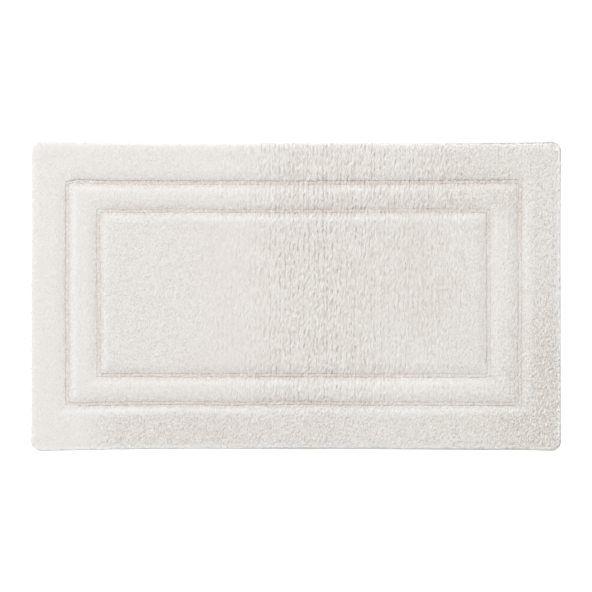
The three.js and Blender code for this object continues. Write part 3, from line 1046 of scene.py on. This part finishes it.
def make_hems():
    """The four sides of the hem, and the run of sewing along each."""
    tape = plain_weave("hem_tape", pale=(0.90, 0.89, 0.86), dark=(0.82, 0.81, 0.78), pitch=0.7 * MM)
    thread = sewing_thread("hem_thread")
    hems, runs = [], []
    for side, name in enumerate(("front", "right", "back", "left")):
        hem = hem_side(side).make(name + "_hem_tape", tape)
        hems.append(stand_for(hem, name + "_hem"))
        run = hem_sewing(side).make(name + "_hem_stitches", thread)
        runs.append(stand_for(run, name + "_hem_sewing"))
    return hems, runs


COAT_STEPS, CLOTH_STEPS, LABEL_STEPS = (1.3 * MM, 1.8 * MM), (3 * MM, 3 * MM), (0.8 * MM, 0.7 * MM)
CLOTH_BULGE, LABEL_BULGE = 0.2 * MM, 0.1 * MM  # how far their cut edges bulge
CLOTH_INSET = 1.8 * MM  # how far in from the mat's outline the backing cloth ends
LABEL_CORNER = 1 * MM


def make_underside():
    """The latex coat, the backing cloth and the care label."""
    coat = field(MAT_MIDDLE, COAT_HALF, SMALLEST_RADIUS, COAT_STEPS, coat_surface,
                 -COAT_TOP, rim=rounded_rim(CLOTH_BULGE)).turned_over()
    coat = stand_for(coat.make("latex_back", latex("latex")), "latex_coat")
    weave = plain_weave("backing_weave", pale=(0.78, 0.77, 0.73), dark=(0.64, 0.62, 0.57),
                        pitch=1.2 * MM)
    cloth = field(MAT_MIDDLE, CLOTH_HALF, CORNER_RADIUS - CLOTH_INSET, CLOTH_STEPS,
                  cloth_surface, CLOTH_BASE, rim=rounded_rim(CLOTH_BULGE))
    cloth = stand_for(cloth.make("backing_weave_sheet", weave), "backing_cloth")
    label = field(LABEL_MIDDLE, LABEL_HALF, LABEL_CORNER, LABEL_STEPS, label_surface,
                  -LABEL_TOP, rim=rounded_rim(LABEL_BULGE)).turned_over()
    label = stand_for(label.make("blank_care_label", satin("label_satin")), "care_label")
    return coat, cloth, label


# ---- Floor, lights and camera ----


FLOOR_SIZE = 30
FLOOR_GLOW, WORLD_GLOW = 0.7, 0.38
WHITE = (1, 1, 1, 1)


def add_floor():
    """A plain pale floor that glows a little, so that it stays white round the mat."""
    bpy.ops.mesh.primitive_plane_add(size=FLOOR_SIZE)
    floor = bpy.context.object
    floor.name = "floor"
    finish = Finish("pale_floor", (0.8, 0.8, 0.8), roughness=0.9)
    finish.set(finish.shader, {"Emission Color": WHITE, "Emission Strength": FLOOR_GLOW})
    floor.data.materials.append(finish.material)


def add_softbox(name, place, size, power):
    """A soft light that faces the mat's middle."""
    light = bpy.data.lights.new(name, "AREA")
    light.shape = "RECTANGLE"
    light.size, light.size_y = size
    light.energy = power
    lamp = bpy.data.objects.new(name, light)
    lamp.location = place
    lamp.rotation_euler = (-Vector(place)).to_track_quat("-Z", "Y").to_euler()
    bpy.context.scene.collection.objects.link(lamp)


def add_studio():
    """Soft light from the back left, with weaker lights above and in front."""
    world = bpy.data.worlds.new("studio")
    bpy.context.scene.world = world
    world.use_nodes = True
    background = world.node_tree.nodes["Background"]
    background.inputs["Color"].default_value = WHITE
    background.inputs["Strength"].default_value = WORLD_GLOW
    add_softbox("key", place=(-3.9, 6.0, 6.9), size=(3.3, 3.3), power=860)
    add_softbox("overhead", place=(0.4, -0.6, 6.0), size=(3.6, 3.6), power=60)
    add_softbox("fill", place=(3.2, -6.2, 2.4), size=(3, 3), power=130)


CAMERA_PLACE = (-1.1 * MM, 0, 2.683)
CAMERA_LENS = 100  # in millimetres


def add_camera():
    """Looks straight down on the mat."""
    camera = bpy.data.cameras.new("camera")
    camera.lens = CAMERA_LENS
    camera.clip_end = 50
    holder = bpy.data.objects.new("camera", camera)
    holder.location = CAMERA_PLACE
    bpy.context.scene.collection.objects.link(holder)
    bpy.context.scene.camera = holder
    bpy.context.scene.view_settings.view_transform = "Standard"


make_pile()
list(make_hems())
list(make_underside())
add_floor()
add_studio()
add_camera()
